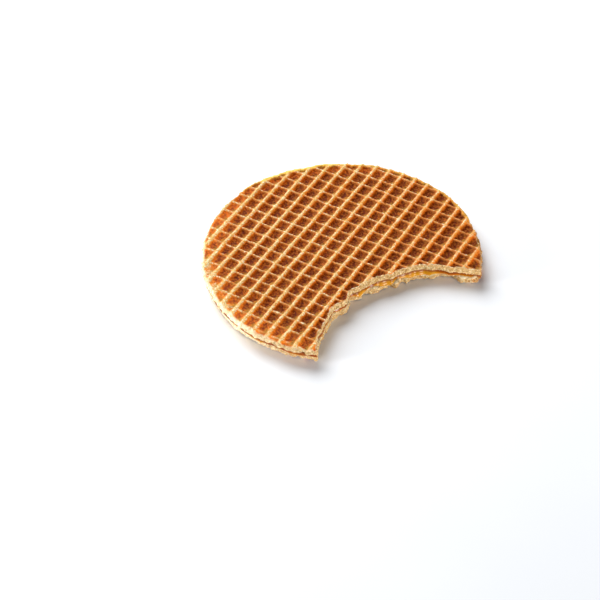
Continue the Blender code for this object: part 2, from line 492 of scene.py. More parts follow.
def narrow_ridges(x, y, cv, iu, across, from_rim, noise):
    """The height of the narrow ridges, 0 to about 1: they sag midway and break at the near left."""
    kv = np.round(cv).astype(int)
    arch = 4.0 * across * (1.0 - across)
    bow = RIB_BOW * noise.each(kv + 17, iu + 5) * arch
    sag = (RIB_SAG_LEAST + RIB_SAG_MORE * np.abs(noise.each(kv + 71, iu + 43))) * arch
    ragged = uneven(noise, x + 40.0, y + 70.0, RIB_HEIGHT) + uneven(noise, x, y, RIB_FINE_HEIGHT)
    breaks = smooth(0.3 + uneven(noise, x, y + 150.0, BREAKS)) * smooth(1.0 - from_rim / RIB_BREAK_REACH)
    broken = sector(x, y, *LEFT_SIDE) * RIB_BREAK * breaks
    islands = sector(x, y, *ISLAND_SIDE) * smooth((ISLAND_REACH - from_rim) / ISLAND_RUN)
    broken = broken + islands * RIB_BREAK * (1.0 - arch) - islands * ISLAND_RISE
    half = NARROW_HALF * (1.0 + RIB_WIDTH_UNEVEN * noise.each(kv + 29, iu + 61))
    away = np.abs((cv - kv) * PITCH - bow - uneven(noise, x, y, RIB_WANDER))
    return (NARROW_HEIGHT - sag + ragged - broken) * (1.0 - smooth((away - half) / NARROW_RUN))


def with_back_lip(raised, x, y, from_rim, noise):
    """The ridges with the thin lip along the back rim, and how golden the lip is."""
    golden = sector(x, y, *GOLDEN_SIDE)
    width = BACK_LIP_WIDTH + BACK_LIP_MORE * golden + uneven(noise, x, y + 210.0, LIP_WIDTH)
    lip = sector(x, y, *BACK_SIDE) * smooth((width - from_rim) / BACK_LIP_RUN)
    height = BACK_LIP_HEIGHT + uneven(noise, x, y + 260.0, LIP_HEIGHT)
    raised = np.maximum(raised * (1.0 - lip * golden), lip * height)
    return raised, smooth(lip / 0.6) * (0.50 + 0.45 * golden)


def browning(x, y, from_rim, noise):
    """How browned the pockets are, 0 to 1: less near the rim at the left and at the back left."""
    browned = 1.0 - sector(x, y, *LEFT_SIDE) * LEFT_PALE * (1.0 - smooth(from_rim / LEFT_PALE_REACH))
    browned = browned * (1.0 - RIM_PALE + RIM_PALE * smooth((from_rim - 0.1) / 1.1))
    near_back = 1.0 - smooth((from_rim - 1.0) / BACK_PALE_REACH)
    browned = browned * (1.0 - BACK_PALE * sector(x, y, *BACK_LEFT_SIDE) * near_back)
    # paler patches near the rim at the near left
    paler = sector(x, y, *PALER_PATCH_SIDE) * smooth((PALER_PATCH_REACH - from_rim) / PALER_PATCH_RUN)
    patches = np.clip(0.45 + uneven(noise, x, y + 30.0, PALER_PATCHES), 0.0, 1.0)
    return browned * (1.0 - paler * patches)


def painted_pocket_light_and_shadow(across, along, floor):
    """Shares of painted shadow and painted light in each pocket, by the place in it: a dark shadow wedge,
    a lit high part and a lit part.
    """
    shadow_wedge_edge = 0.37 + 0.70 * np.minimum(along, 0.5) - 0.45 * np.maximum(along - 0.5, 0.0)
    shadow_wedge = smooth((shadow_wedge_edge - across) / 0.15 + 0.3)
    painted_shadow = smooth((across - 0.27) / 0.17) * shadow_wedge * smooth((along - 0.03) / 0.12)
    painted_light = smooth((across - 0.50) / 0.26) * smooth((along - 0.36) / 0.30)
    high = smooth((across - shadow_wedge_edge + 0.02) / 0.12) * smooth((0.55 - along) / 0.25)
    return painted_shadow * floor, painted_light * smooth(floor / 0.35), high * smooth(floor / 0.60)


def relief(x, y, from_rim, phase, noise):
    """How far the patterned face lies below the ridge tops at each point, and the point's looks."""
    u, v = to_grid(x, y)
    cu = u / PITCH + phase[0] + uneven(noise, x, y, GRID_WANDER)
    cv = v / PITCH + phase[1] + uneven(noise, x + 300.0, y, GRID_WANDER)
    iu = np.floor(cu).astype(int)
    iv = np.floor(cv).astype(int)
    across = cu - iu
    along = cv - iv

    wide_rise = wide_ridges(cu, v, noise)
    narrow_rise = narrow_ridges(x, y, cv, iu, across, from_rim, noise)
    raised = (np.clip(wide_rise, 0.0, 2.0) ** 4 + np.clip(narrow_rise, 0.0, 2.0) ** 4) ** 0.25
    raised, gold = with_back_lip(np.minimum(raised, RIDGE_LIMIT), x, y, from_rim, noise)

    left_rim = sector(x, y, *LEFT_SIDE) * (1.0 - smooth(from_rim / LEFT_SHALLOW_REACH))
    shallow = 1.0 - LEFT_SHALLOW * left_rim
    inner = smooth(from_rim / RIM_SHALLOW_REACH)
    depth = POCKET_DEPTH * shallow * (1.0 - RIM_SHALLOW + RIM_SHALLOW * inner)
    depth = depth * (1.0 + POCKET_UNEVEN * noise.each(iu + 7, iv + 19))
    floor = 1.0 - np.clip(raised, 0.0, 1.0)
    grain = uneven(noise, x, y, FLOOR_GRAIN) + uneven(noise, x + 9.0, y, FLOOR_FINE_GRAIN)
    pits = noise.pits(x, y, PIT_SIZE, PIT_SHARE)
    drop = depth * (1.0 - raised) + floor * (PIT_DEPTH * pits - grain - 0.02) * shallow
    drop = drop + uneven(noise, x, y, FACE_GRAIN)

    browned = browning(x, y, from_rim, noise)
    painted_shadow, painted_light, high = painted_pocket_light_and_shadow(across, along, floor)
    back_flank = smooth((across - 0.80) / 0.12) * (1.0 - smooth((across - 0.97) / 0.04))
    # The looks in order: browning, also darker towards the right; in the pockets painted shadow, painted
    # light and painted light on their high part; the narrow ridges and the wide ones' back flanks; painted
    # shade in the dents; the back rim's gold lip
    looks = {
        "bake": np.clip(floor * browned + DARKER_TO_RIGHT * x / RADIUS, 0.0, 1.0),
        "painted_shadow": painted_shadow * browned,
        "painted_light": painted_light,
        "high": high,
        "rib": np.maximum(np.clip(narrow_rise - 0.9 * wide_rise, 0.0, 1.0), 0.95 * back_flank),
        "painted_pit_shade": pits * floor,
        "gold": gold,
    }
    return drop, looks


def shoulder_drop(x, y, from_rim):
    """How far the patterned face falls near the rim, more at the near and left sides than at the back."""
    near = 0.35 + 0.65 * smooth(0.75 - y / 45.0)
    fall = 0.30 * (1.0 - smooth((from_rim + 0.2) / 1.1)) + 0.16 * (1.0 - smooth((from_rim + 0.3) / 5.0))
    return near * fall


# ---- the wafers ----------------------------------------------------------------------------------

# Slow waves of an outline as (height in mm, cycles along it)
RIM_WAVE = (0.55, (2, 3, 5, 9, 14, 22))
BITE_WAVE = (0.30, (7, 11, 17, 23))
LIP_WAVE = (0.15, (8, 13, 21))
RIM_FLAKES = (0.42, (43, 59, 71, 97))

# Roughness of the sides as (feature size, strength) in mm
RIM_ROUGHNESS = ((1.7, 0.24), (0.7, 0.20), (0.40, 0.16))
BITE_ROUGHNESS = ((2.2, 0.18), (0.9, 0.15), (0.4, 0.11))
RIM_HOLES = (0.8, 0.34)
BITE_HOLES = (0.7, 0.22)
HOLE_SHARE = 0.5
ROW_JITTER = 0.05

# Insets, the shift and the lip are in mm, and LIP_LEAST, LIP_TOP and TORN_TOAST are shares
SIDE_ROWS = 9
TOP_INSET = 0.20
BITE_TOP_INSET = 0.05
BACK_OUT = 0.70
LOWER_SHIFT = (0.35, 0.95)
LOWER_LIP = 0.70
LOWER_CORNER_INSET = 0.7
LIP_LEAST = 0.20
LIP_TOP = 0.30
PLAIN_SLOPE = 0.25
RING_INSET = 0.5
RING_BITE_INSET = 0.8
TORN_TOAST = 0.9
TORN_WIDTH = 0.30

RIM_HALF, BITE_HALF = half_angles(RADIUS, BITE_RADIUS)
RIM_SWEEP = math.tau - 2.0 * RIM_HALF
RIM_WAY = RIM_PLACES * RADIUS * RIM_SWEEP
BITE_WAY = BITE_PLACES * BITE_RADIUS * 2.0 * BITE_HALF + 700.0
RIM_TURN = BITE_DIRECTION + RIM_HALF + RIM_SWEEP * RIM_PLACES
RIM_X = np.cos(RIM_TURN)
RIM_Y = np.sin(RIM_TURN)


def side_noise(noise, distance, height, sizes):
    """Roughness of a side wall, by the way along it and the height, in mm."""
    total = 0.0
    for size, strength in sizes:
        total = total + strength * noise(distance + 31.0 * size, height * 1.15 + 400.0, size)
    return total


class Sides:
    """The rough rim and bite of one wafer, as offsets from its plan at any height.

    shift moves the rim sideways, lip is how far the plain face's edge sticks out of the bite, and
    corner_inset is how far the two corners at the bite's ends lie inside the rim.
    """

    def __init__(self, seed, noise, down, tears, shift, lip, corner_inset):
        self.noise = noise
        self.tears = tears
        self.corner_inset = corner_inset
        self.rim_wave = Waver(seed, *RIM_WAVE)(RIM_PLACES) + corner_inset
        self.rim_wave += shift[0] * RIM_X + shift[1] * RIM_Y
        self.flakes = np.zeros(RIM_POINTS)
        if not down:
            self.rim_wave += BACK_OUT * sector(RIM_X, RIM_Y, *BACK_SIDE)
            flaky_side = sector(RIM_X, RIM_Y, *FLAKY_SIDE)
            self.flakes = Waver(seed + 3, *RIM_FLAKES)(RIM_PLACES) * flaky_side
        self.bite_wave = Waver(seed + 1, *BITE_WAVE)(BITE_PLACES)
        lips = bumps(BITE_PLACES, LIPS) + Waver(seed + 2, *LIP_WAVE)(BITE_PLACES)
        self.lip_share = np.clip(lips, 0.0, 1.0)
        self.lip_wave = lip * (LIP_LEAST + self.lip_share)
        smoother = 0.65 * sector(RIM_X, RIM_Y, *EVEN_SIDE)
        rougher = 0.20 * sector(RIM_X, RIM_Y, *ROUGH_SIDE)
        self.rim_rough = 1.0 - smoother + rougher

    def rim_offset(self, share, height):
        """The rim's offset: share runs from 0 at the plain face's edge to 1 at the patterned one's."""
        rough = side_noise(self.noise, RIM_WAY, height, RIM_ROUGHNESS) * self.rim_rough
        hole_size, hole_depth = RIM_HOLES
        holes = self.noise.pits(RIM_WAY, height * np.ones(RIM_POINTS) + 55.0, hole_size, HOLE_SHARE)
        body = 4.0 * share * (1.0 - share)
        flaky = self.flakes * smooth(1.0 - share)
        return self.rim_wave + flaky + rough * (0.55 + 0.8 * body) - hole_depth * holes * body

    def bite_offset(self, share, height):
        """The bite's offset, more where the wafer is bitten or torn further back."""
        rough = side_noise(self.noise, BITE_WAY, height, BITE_ROUGHNESS)
        hole_size, hole_depth = BITE_HOLES
        holes = self.noise.pits(BITE_WAY, height * np.ones(BITE_POINTS) + 55.0, hole_size, HOLE_SHARE)
        body = 4.0 * share * (1.0 - share)
        tear = bumps(BITE_PLACES, self.tears) * (0.60 + 0.40 * share)
        out = self.lip_wave * smooth((LIP_TOP - share) / 0.15)
        torn = tear + rough + hole_depth * holes * body
        return bumps(BITE_PLACES, TOOTH_MARKS) + self.bite_wave + torn - out

    def outline(self, rim_inset, bite_inset, share, height):
        """The wafer's outline at a height."""
        rim_offset = self.rim_offset(share, height)
        bite_offset = self.bite_offset(share, height)
        return Outline(rim_inset + self.corner_inset, bite_inset, rim_offset, bite_offset)


def face_looks(looks, x, y, from_rim, from_bite, noise):
    """The numbers for the look of the patterned face, with torn and pale edges, partly painted light, and
    a painted highlight.
    """
    cream_and_painted_light_side = sector(x, y, *CREAM_AND_PAINTED_LIGHT_SIDE)
    edge_band = 1.0 - smooth((from_rim - 0.04 - 0.10 * cream_and_painted_light_side) / (0.22 + 0.40 * cream_and_painted_light_side))
    torn_face = 1.0 - smooth((from_bite + 0.10 * noise(x, y, 0.6)) / TORN_WIDTH)
    # a painted highlight along the bite's top edge
    painted_bite_edge_highlight = (1.0 - smooth(from_bite / 0.32)) * np.clip(0.45 + 0.6 * noise(x + 70.0, y, 0.7), 0.0, 1.0)
    # pale rim edge: paler cut rim at the front, and at the near left partly painted light
    rim_pale_and_painted_light = edge_band * (0.20 * sector(x, y, *FRONT_SIDE) + 0.60 * cream_and_painted_light_side)
    looks["torn"] = np.maximum(torn_face, 0.55 * edge_band)
    looks["pale"] = np.maximum(rim_pale_and_painted_light, painted_bite_edge_highlight)
    looks["toast"] = np.zeros(len(x))
    return looks


def wafer(name, seed, phase, patterned_z, plain_z, plain_rise, sides_from):
    """One waffle disc: a fine patterned face, rough sides in rows, and a plain face on the caramel.

    plain_rise is how far the plain face's edge comes in towards the caramel at each outline point, and
    sides_from holds the tears, shift, lip and corner inset of its sides.
    """
    noise = Noise(seed + 100)
    down = patterned_z < plain_z
    inward = 1.0 if down else -1.0
    sides = Sides(seed, noise, down, *sides_from)

    first = sides.outline(TOP_INSET, BITE_TOP_INSET, 1.0, patterned_z)
    points, squares, triangles = clipped_grid(first, CELLS_FINE, phase, FINE_MARGIN)
    x, y = points[:, 0], points[:, 1]
    from_rim, from_bite = first.depth_inside(x, y)
    from_rim = np.maximum(from_rim, 0.0)
    drop, looks = relief(x, y, from_rim, phase, noise)
    torn_up = 1.0 - smooth((from_bite - 0.10) / 0.60)
    drop = drop * (1.0 - 0.80 * torn_up) + torn_up * (0.10 + 0.12 * noise(x, y, 0.5))
    drop = drop + shoulder_drop(x, y, from_rim)
    z = patterned_z + inward * np.maximum(drop, 0.0)
    looks = face_looks(looks, x, y, from_rim, from_bite, noise)
    parts = {label: [values] for label, values in looks.items()}

    count = len(first.points)
    here = np.arange(count)
    after = (here + 1) % count
    edge_z = z[:count]
    edge_x, edge_y = x[:count], y[:count]
    # pale walls: paler cut rim at the front, and on the near-left wall partly painted light
    wall_pale_and_painted_light = 0.15 * sector(edge_x, edge_y, *FRONT_SIDE) + 0.75 * sector(edge_x, edge_y, *CREAM_AND_PAINTED_LIGHT_SIDE)
    wall_pale_and_painted_light[RIM_POINTS:] = 0.0
    wall_toast = 0.7 * sector(edge_x, edge_y, *TOASTED_SIDE)
    wall_toast[RIM_POINTS:] = TORN_TOAST * smooth((BITE_PLACES - 0.935) / 0.03) * down
    plain_edge = plain_z + inward * plain_rise
    all_points = [np.column_stack([points, z])]
    row_start = [0]
    total = len(points)
    for row in range(1, SIDE_ROWS + 1):
        share = 1.0 - row / SIDE_ROWS
        height = plain_z + (patterned_z - plain_z) * share
        rounding = TOP_INSET * smooth((share - 0.6) / 0.4) + 0.12 * smooth((0.3 - share) / 0.3)
        edge = sides.outline(rounding, BITE_TOP_INSET * share, share, height)
        jitter = ROW_JITTER * noise(np.r_[RIM_WAY, BITE_WAY] + 800.0, row * 3.0, 0.5) * (row < SIDE_ROWS)
        row_z = plain_edge + (edge_z - plain_edge) * share + jitter
        all_points.append(np.column_stack([edge.points, row_z]))
        row_start.append(total)
        total += count
        lip_edge = smooth((0.22 - share) / 0.12) * (sides.lip_wave.max() > 0.0)
        lip_here = lip_edge * np.r_[np.zeros(RIM_POINTS), 0.2 + 0.8 * sides.lip_share]
        parts["bake"].append(looks["bake"][:count] * share)
        parts["gold"].append(looks["gold"][:count] * share)
        parts["torn"].append(np.full(count, min(1.0, 0.80 + 0.6 * (1.0 - share))))
        parts["pale"].append(np.maximum(wall_pale_and_painted_light, 0.9 * lip_here))
        parts["toast"].append(wall_toast * (1.0 - lip_here))
        for label in ("painted_shadow", "painted_light", "high", "rib", "painted_pit_shade"):
            parts[label].append(np.zeros(count))

    ring = sides.outline(rounding + RING_INSET, RING_BITE_INSET, 0.0, plain_z)
    all_points.append(np.column_stack([ring.points, plain_edge + inward * PLAIN_SLOPE]))
    row_start.append(total)
    total += count
    for label in parts:
        parts[label].append(parts[label][-1])
    faces = squares.tolist() + triangles.tolist()
    for low, high in zip(row_start[1:], row_start[:-1]):
        faces += np.stack([low + here, low + after, high + after, high + here], axis=1).tolist()

    inner, inner_squares, inner_triangles = clipped_grid(ring, CELLS_COARSE, phase, COARSE_MARGIN)
    rest = len(inner) - count
    all_points.append(np.column_stack([inner[count:], np.full(rest, plain_z)]))
    remap = np.r_[row_start[-1] + here, total + np.arange(rest)]
    faces += remap[inner_squares][:, ::-1].tolist() + remap[inner_triangles][:, ::-1].tolist()
    plain_look = {"bake": 0.2, "torn": 1.0, "pale": 0.5}
    for label in parts:
        parts[label].append(np.full(rest, plain_look.get(label, 0.0)))

    if down:
        faces = [face[::-1] for face in faces]
    attributes = {label: np.concatenate(values) for label, values in parts.items()}
    all_points = np.concatenate(all_points)
    rows = [all_points[start : start + count] for start in row_start[:-1]]
    return make_mesh(name, all_points, faces, attributes), rows


# ---- the caramel ---------------------------------------------------------------------------------

# How much of the full gap the caramel fills, as shares of it
RIM_FILL = 0.30
RIM_FILL_LEAST = 0.12
SYRUP_THIN = 0.60
BITE_FILL_LEAST = 0.15
TOP_CLEAR = 0.02

# The share of the bite at each end where the caramel goes over to the rim's
BITE_END = 0.03

# Waves of the caramel as (seed, height, cycles)
RIM_FILL_WAVE = (61, 0.10, (3, 7, 13, 23))
BITE_FILL_WAVE = (62, 0.05, (9, 14, 25))
RIM_FILL_RAGGED = (63, 0.08, (41, 57, 83, 101))
RIM_SET_BACK_WAVE = (71, 0.26, (3, 5, 8, 13, 29))
BITE_SET_BACK_WAVE = (72, 0.08, (9, 14, 22))

# The caramel's edge in mm: how far back it lies, bulges and slumps, and sinks into the wafers
RIM_SET_BACK = 0.34
BITE_SET_BACK = 0.36
POOL_OUT = 0.09
RIM_BULGE = 0.15
BITE_BULGE = 0.12
SLUMP = 0.32
SYRUP_SINK = 0.06

SYRUP_ROWS = 8

# Where the painted shade on the caramel's upper part, under the upper wafer, begins, as shares of its
# height
RIM_PAINTED_SHADE_FROM = 0.12
BITE_PAINTED_SHADE_FROM = 0.14
POOL_PAINTED_SHADE_MORE = 0.28
PAINTED_SHADE_RUN = 0.30


def caramel_gap():
    """The caramel's thickness and its middle's height round the outline, as shares of the full gap."""
    rim = RIM_FILL + Waver(*RIM_FILL_WAVE)(RIM_PLACES) + bumps(RIM_PLACES, RIM_SLITS)
    pools = np.clip(bumps(BITE_PLACES, SYRUP_POOLS), 0.0, 1.0)
    bite = SYRUP_THIN + (1.0 - SYRUP_THIN) * pools + Waver(*BITE_FILL_WAVE)(BITE_PLACES)
    from_ends = smooth(np.minimum(BITE_PLACES, 1.0 - BITE_PLACES) / BITE_END)
    bite = bite * from_ends + rim[-1] * (1.0 - from_ends)
    rim = rim + Waver(*RIM_FILL_RAGGED)(RIM_PLACES)
    share = np.r_[np.clip(rim, RIM_FILL_LEAST, 1.0), np.clip(bite, BITE_FILL_LEAST, 1.0)]
    return share, np.maximum(1.0 - TOP_CLEAR - 0.5 * share, 0.5 * share)


def caramel(share, middle):
    """The caramel layer, with a bulging edge a little inside the wafers' edges."""
    low = LOWER_PLAIN + FULL_GAP * (middle - share * 0.5) - SYRUP_SINK
    high = LOWER_PLAIN + FULL_GAP * (middle + share * 0.5) + SYRUP_SINK
    rim_set_back = RIM_SET_BACK + Waver(*RIM_SET_BACK_WAVE)(RIM_PLACES)
    wave = Waver(UPPER_SEED + 1, *BITE_WAVE)(BITE_PLACES) + Waver(*BITE_SET_BACK_WAVE)(BITE_PLACES)
    pool = np.clip((share[RIM_POINTS:] - SYRUP_THIN) / (1.0 - SYRUP_THIN), 0.0, 1.0)
    bite_set_back = bumps(BITE_PLACES, TOOTH_MARKS) + wave + BITE_SET_BACK - POOL_OUT * pool
    points = []
    for row in range(SYRUP_ROWS + 1):
        up = row / SYRUP_ROWS
        bulge = 1.0 - (2.0 * up - 1.0) ** 2
        slump = SLUMP * (1.0 + pool) * smooth(1.2 - 1.8 * up)
        bite_offset = bite_set_back - BITE_BULGE * bulge * (0.3 + pool) - slump
        edge = Outline(0.0, 0.0, RIM_BULGE * bulge - rim_set_back, bite_offset)
        points.append(np.column_stack([edge.points, low + (high - low) * up]))

    count = RIM_POINTS + BITE_POINTS
    here = np.arange(count)
    after = (here + 1) % count
    faces = []
    for start in range(0, SYRUP_ROWS * count, count):
        quads = [start + here, start + after, start + count + after, start + count + here]
        faces += np.stack(quads, axis=1).tolist()
    # painted shade on the caramel's upper part, where the upper wafer overhangs it
    painted_shade_from = np.r_[np.full(RIM_POINTS, RIM_PAINTED_SHADE_FROM), BITE_PAINTED_SHADE_FROM + POOL_PAINTED_SHADE_MORE * pool]
    ups = np.arange(SYRUP_ROWS + 1)[:, None] / SYRUP_ROWS
    thick = [np.tile(share, SYRUP_ROWS + 1)]
    upper = [smooth((ups - painted_shade_from) / PAINTED_SHADE_RUN).ravel()]

    inner, squares, triangles = clipped_grid(edge, CELLS_COARSE, UPPER_PHASE, CARAMEL_MARGIN)
    extra = len(inner) - count
    total = (SYRUP_ROWS + 1) * count
    for start, z, flip in ((SYRUP_ROWS * count, UPPER_PLAIN, False), (0, LOWER_PLAIN, True)):
        points.append(np.column_stack([inner[count:], np.full(extra, z)]))
        thick.append(np.full(extra, 0.5))
        upper.append(np.zeros(extra))
        remap = np.r_[start + here, np.arange(extra) + total]
        total += extra
        for kind in (squares, triangles):
            corners = remap[kind]
            faces += (corners[:, ::-1] if flip else corners).tolist()
    attributes = {"thick": np.concatenate(thick), "upper": np.concatenate(upper)}
    return make_mesh("caramel", np.concatenate(points), faces, attributes)


# ---- crumbs --------------------------------------------------------------------------------------

CRUMB_LEAST = 0.10
CRUMB_MORE = 0.16
BITE_CRUMB_SCALE = 1.35
NEXT_CORNER = 1.06


def unit_crumb():
    """An icosahedron's corners and faces, with a corner radius of 1."""
    golden = (1.0 + math.sqrt(5.0)) / 2.0
    corners = []
    for a in (-1.0, 1.0):
        for b in (-golden, golden):
            corners += [(a, b, 0.0), (0.0, a, b), (b, 0.0, a)]
    corners = np.array(corners) / math.hypot(1.0, golden)
    faces = []
    for i, j, k in itertools.combinations(range(len(corners)), 3):
        gaps = (corners[i] - corners[j], corners[j] - corners[k], corners[i] - corners[k])
        if all(np.linalg.norm(gap) < NEXT_CORNER for gap in gaps):
            outward = np.dot(np.cross(-gaps[0], -gaps[2]), corners[i])
            faces.append((i, j, k) if outward > 0 else (i, k, j))
    return corners, np.array(faces)


def crumbs(rows_list, seed, on_bite, on_rim):
    """Small crumbs half sunk in the torn and cut sides."""
    draw = np.random.default_rng(seed)
    corners, faces = unit_crumb()
    points = []
    triangles = []
    for rows in rows_list:
        bite_spots = draw.integers(RIM_POINTS, RIM_POINTS + BITE_POINTS, on_bite)
        rim_spots = draw.integers(0, RIM_POINTS, on_rim)
        for spot in np.r_[bite_spots, rim_spots]:
            row = int(draw.integers(1, SIDE_ROWS))
            size = CRUMB_LEAST + CRUMB_MORE * draw.random() ** 2
            if spot >= RIM_POINTS:
                size *= BITE_CRUMB_SCALE
            stretch = size * draw.uniform(0.7, 1.25, (12, 1)) * draw.uniform(0.75, 1.3, (1, 3))
            triangles.append(faces + 12 * len(points))
            points.append(rows[row][spot] + corners * stretch)
    return make_mesh("clinging_crumbs", np.concatenate(points), np.concatenate(triangles).tolist(), {})


# ---- materials -----------------------------------------------------------------------------------


def linear(red, green, blue):
    """Linear colour from 0 to 255 display values."""

    def one(value):
        value = value / 255.0
        return value / 12.92 if value <= 0.04045 else ((value + 0.055) / 1.055) ** 2.4

    return (one(red), one(green), one(blue), 1.0)


# Colours by level, from the ridge tops to the pocket floors
CRUST = (
    (0.00, linear(222, 178, 102)),
    (0.09, linear(220, 157, 74)),
    (0.28, linear(248, 140, 38)),
    (0.62, linear(244, 112, 22)),
    (1.00, linear(148, 62, 8)),
)
CRUMB = (
    (0.26, linear(116, 80, 42)),
    (0.40, linear(174, 137, 84)),
    (0.54, linear(206, 172, 118)),
    (0.74, linear(242, 226, 188)),
)
CREAM = ((0.30, linear(222, 184, 112)), (0.54, linear(252, 240, 206)))
CARAMEL = ((0.10, linear(140, 64, 2)), (0.38, linear(188, 106, 12)), (0.68, linear(214, 144, 22)))
LOOSE_CRUMB = ((0.28, linear(180, 126, 68)), (0.48, linear(220, 180, 118)), (0.70, linear(248, 226, 178)))
FLOOR = ((0.3, (0.89, 0.91, 0.94, 1.0)), (0.7, (0.91, 0.93, 0.96, 1.0)))

# Noises as (feature size in mm, detail, roughness)
BROAD_SHADE = (9.0, 2.0)
MIDDLE_SHADE = (1.2, 3.0)
GRIT = (0.62, 2.0, 0.7)
FLECKS = (0.50, 1.0, 0.5)
CRUMB_GRAIN = (0.60, 4.0, 0.72)
CRUMB_PATCHES = (1.1, 2.0)
TOASTED_PATCHES = (2.6, 2.0)
SKIN = (0.22, 3.0, 0.6)
SYRUP_CLOUDS = (2.2, 2.0)
SYRUP_STREAKS = (0.7, 3.0)
SYRUP_WAVES = (1.3, 2.0)
LOOSE_SHADE = (0.8, 3.0)
LOOSE_GRAIN = (0.15, 2.0)
LOOSE_DULLNESS = (0.4,)
FLOOR_SHADE = (60.0, 2.0)

# Layers laid over the colours as (share, colour)
# Painted light on the pockets' high and lit parts, and painted shadow in their dark wedge
PAINTED_HIGH_LIGHT_LAYER = (0.60, linear(174, 102, 40))
PAINTED_LIGHT_LAYER = (0.88, linear(182, 134, 54))
PAINTED_SHADOW_LAYER = (0.88, linear(104, 28, 4))
# Painted shade in the dents
PAINTED_PIT_SHADE_LAYER = (0.26, linear(84, 34, 10))
RIB_LAYER = (0.70, linear(190, 142, 88))
DOT_LAYER = (0.34, linear(64, 20, 2))
# Painted glints: on the pocket floors, then specks and flecks on the ridge tops
PAINTED_GLINT_LAYER = (0.30, linear(206, 138, 56))
PAINTED_SPECK_LAYER = (0.42, linear(254, 236, 188))
PAINTED_FLECK_LAYER = (0.60, linear(255, 246, 212))
TOASTED_LAYER = (0.20, linear(202, 142, 70))
PALE_PATCH_LAYER = (0.40, linear(250, 232, 186))
BROWN_PATCH_LAYER = (0.34, linear(166, 116, 58))
TOAST_LAYER = (0.80, linear(186, 116, 48))
GOLD_LAYER = (0.85, linear(250, 206, 96))
# Painted shade on the caramel under the upper wafer
PAINTED_OVERHANG_SHADE_LAYER = (0.85, linear(122, 50, 4))


class Shader:
    """Builds one node material. Each method returns the output socket of the node it adds."""

    def __init__(self, name):
        self.material = bpy.data.materials.new(name)
        self.material.use_nodes = True
        self.tree = self.material.node_tree
        self.surface = self.tree.nodes["Principled BSDF"]
        self.place = self.add("ShaderNodeTexCoord").outputs["Object"]

    def add(self, kind):
        return self.tree.nodes.new(kind)

    def put(self, socket, value):
        if isinstance(value, bpy.types.NodeSocket):
            self.tree.links.new(value, socket)
        else:
            socket.default_value = value

    def attribute(self, name):
        node = self.add("ShaderNodeAttribute")
        node.attribute_name = name
        return node.outputs["Fac"]

    def noise(self, size_mm, detail=3.0, roughness=0.55):
        node = self.add("ShaderNodeTexNoise")
        self.put(node.inputs["Vector"], self.place)
        node.inputs["Scale"].default_value = 1.0 / (size_mm * MM)
        node.inputs["Detail"].default_value = detail
        node.inputs["Roughness"].default_value = roughness
        return node.outputs["Fac"]

    def math(self, operation, a, b=0.0, c=0.0, clamp=False):
        node = self.add("ShaderNodeMath")
        node.operation = operation
        node.use_clamp = clamp
        for socket, value in zip(node.inputs, (a, b, c)):
            self.put(socket, value)
        return node.outputs[0]

    def times(self, a, b):
        return self.math("MULTIPLY", a, b)

    def span(self, value, low, high, to_low=0.0, to_high=1.0):
        node = self.add("ShaderNodeMapRange")
        node.interpolation_type = "SMOOTHSTEP"
        for socket, entry in zip(node.inputs, (value, low, high, to_low, to_high)):
            self.put(socket, entry)
        return node.outputs[0]

    def ramp(self, value, stops):
        node = self.add("ShaderNodeValToRGB")
        self.put(node.inputs["Fac"], value)
        ramp = node.color_ramp
        while len(ramp.elements) < len(stops):
            ramp.elements.new(0.5)
        for element, (position, colour) in zip(ramp.elements, stops):
            element.position = position
            element.color = colour
        return node.outputs["Color"]

    def mix(self, share, first, second):
        node = self.add("ShaderNodeMix")
        node.data_type = "RGBA"
        self.put(node.inputs["Factor"], share)
        self.put(node.inputs[6], first)
        self.put(node.inputs[7], second)
        return node.outputs[2]

    def over(self, base, mask, layer):
        share, colour = layer
        return self.mix(self.times(mask, share), base, colour)

    def bump(self, height, distance_mm, strength, before=None):
        node = self.add("ShaderNodeBump")
        node.inputs["Strength"].default_value = strength
        node.inputs["Distance"].default_value = distance_mm * MM
        self.put(node.inputs["Height"], height)
        if before is not None:
            self.put(node.inputs["Normal"], before)
        return node.outputs["Normal"]

    def finish(self, colour, roughness, normal=None, **flat):
        self.put(self.surface.inputs["Base Color"], colour)
        self.put(self.surface.inputs["Roughness"], roughness)
        if normal is not None:
            self.put(self.surface.inputs["Normal"], normal)
        for label, value in flat.items():
            self.surface.inputs[label.replace("_", " ")].default_value = value
        return self.material


